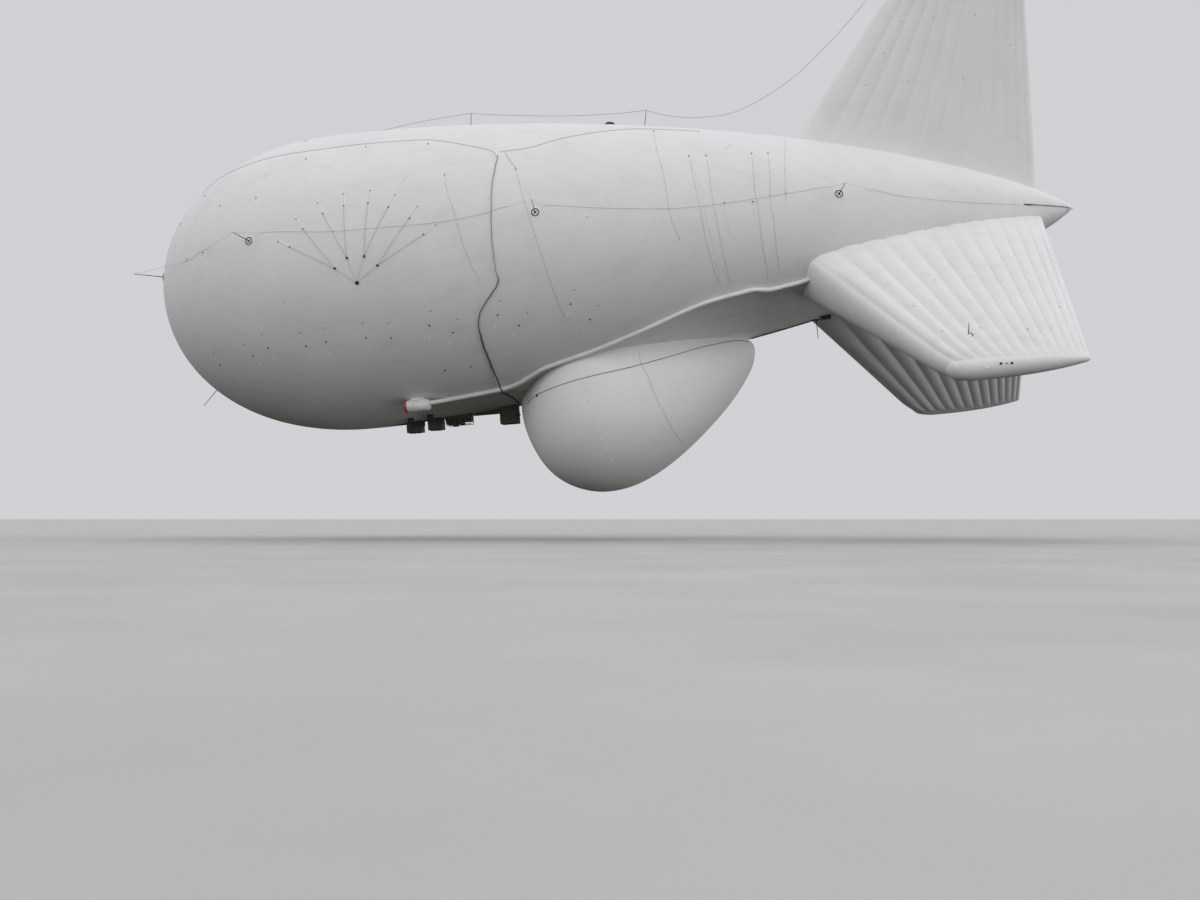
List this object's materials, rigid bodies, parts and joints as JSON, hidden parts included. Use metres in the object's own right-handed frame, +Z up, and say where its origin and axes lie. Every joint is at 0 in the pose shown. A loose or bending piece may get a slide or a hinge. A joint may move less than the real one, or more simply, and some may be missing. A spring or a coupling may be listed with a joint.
{
  "type": "half-scale model of a tethered aerostat airship",
  "caption": "Half-scale tethered aerostat: gas hull, ribbed inverted-Y fins, hanging radome, keel fairing, air ducts, fan blowers and keel equipment.",
  "frame": {"origin": "on the hull's axis at its centre of lift, 16 m behind the nose tip", "axes": "+X from nose to tail along the hull's axis, +Y to starboard, +Z up"},
  "size_m": [37.315, 13.9898, 19.2785],
  "materials": {
    "envelope_fabric": "white coated fabric, matte with soft sheen, welded gore seams",
    "fin_fabric": "white coated fabric, matte, ribbed lobes",
    "radome_fabric": "thin white coated fabric, matte",
    "fairing_fabric": "white coated fabric, slightly grubby",
    "duct_fabric": "white coated fabric hose",
    "housing_white": "white painted moulded housing",
    "rim_red": "dark red paint",
    "equipment_green": "matte dark olive paint",
    "rod_metal": "dark painted metal",
    "blower_metal": "black painted metal",
    "fan_metal": "cast aluminium, dull",
    "nose_metal": "machined aluminium",
    "cable_black": "black rubber sheath"
  },
  "bodies": {
    "aerostat": {"envelope": "envelope_fabric", "nose_plate": "nose_metal", "rod_nose_port": "rod_metal", "rod_nose_starboard": "rod_metal", "rod_nose_lower": "rod_metal", "rod_side_front_port": "rod_metal", "rod_side_front_starboard": "rod_metal", "rod_side_middle_port": "rod_metal", "rod_side_middle_starboard": "rod_metal", "rod_side_rear_port": "rod_metal", "rod_side_rear_starboard": "rod_metal", "rod_top_front": "rod_metal", "rod_top_rear": "rod_metal", "top_valve": "rod_metal", "line_hub_port": "rod_metal", "line_hub_starboard": "rod_metal", "tail_cap": "housing_white", "fin_top": "fin_fabric", "fin_lower_port": "fin_fabric", "fin_lower_starboard": "fin_fabric", "rod_fin_port": "rod_metal", "rod_fin_starboard": "rod_metal", "radome": "radome_fabric", "keel_fairing_front": "fairing_fabric", "keel_fairing_rear": "fairing_fabric", "duct_port": "duct_fabric", "duct_starboard": "duct_fabric", "blower_housing_port": "housing_white", "blower_rim_port": "rim_red", "blower_housing_starboard": "housing_white", "blower_rim_starboard": "rim_red", "ballonet_blower_front_port": "blower_metal", "ballonet_blower_front_starboard": "blower_metal", "ballonet_blower_rear_port": "blower_metal", "ballonet_blower_rear_starboard": "blower_metal", "power_box_front": "equipment_green", "power_box_rear": "equipment_green", "telemetry_rack": "equipment_green", "cable_tray": "equipment_green", "control_box": "equipment_green", "keel_fitting": "equipment_green", "radar_block": "equipment_green", "rod_keel": "rod_metal", "side_cable": "cable_black"},
    "blower_fan_port_body": {"blower_fan_port": "fan_metal"},
    "blower_fan_starboard_body": {"blower_fan_starboard": "fan_metal"},
    "ballonet_fan_front_port_body": {"ballonet_fan_front_port": "fan_metal"},
    "ballonet_fan_front_starboard_body": {"ballonet_fan_front_starboard": "fan_metal"},
    "ballonet_fan_rear_port_body": {"ballonet_fan_rear_port": "fan_metal"},
    "ballonet_fan_rear_starboard_body": {"ballonet_fan_rear_starboard": "fan_metal"}
  },
  "joints": [
    {"name": "blower_port_spin", "type": "hinge", "parent": "aerostat", "child": "blower_fan_port_body", "pos_m": [-4.2, -2.72935, -5.72219], "axis": [-1, 0, 0], "continuous": true},
    {"name": "blower_starboard_spin", "type": "hinge", "parent": "aerostat", "child": "blower_fan_starboard_body", "pos_m": [-4.2, 2.72935, -5.72219], "axis": [-1, 0, 0], "continuous": true},
    {"name": "ballonet_front_port_spin", "type": "hinge", "parent": "aerostat", "child": "ballonet_fan_front_port_body", "pos_m": [-5.68, -0.75, -6.0564], "axis": [0, 0, -1], "continuous": true},
    {"name": "ballonet_front_starboard_spin", "type": "hinge", "parent": "aerostat", "child": "ballonet_fan_front_starboard_body", "pos_m": [-5.68, 0.75, -6.0564], "axis": [0, 0, -1], "continuous": true},
    {"name": "ballonet_rear_port_spin", "type": "hinge", "parent": "aerostat", "child": "ballonet_fan_rear_port_body", "pos_m": [-4.84, -0.75, -6.01902], "axis": [0, 0, -1], "continuous": true},
    {"name": "ballonet_rear_starboard_spin", "type": "hinge", "parent": "aerostat", "child": "ballonet_fan_rear_starboard_body", "pos_m": [-4.84, 0.75, -6.01902], "axis": [0, 0, -1], "continuous": true}
  ]
}
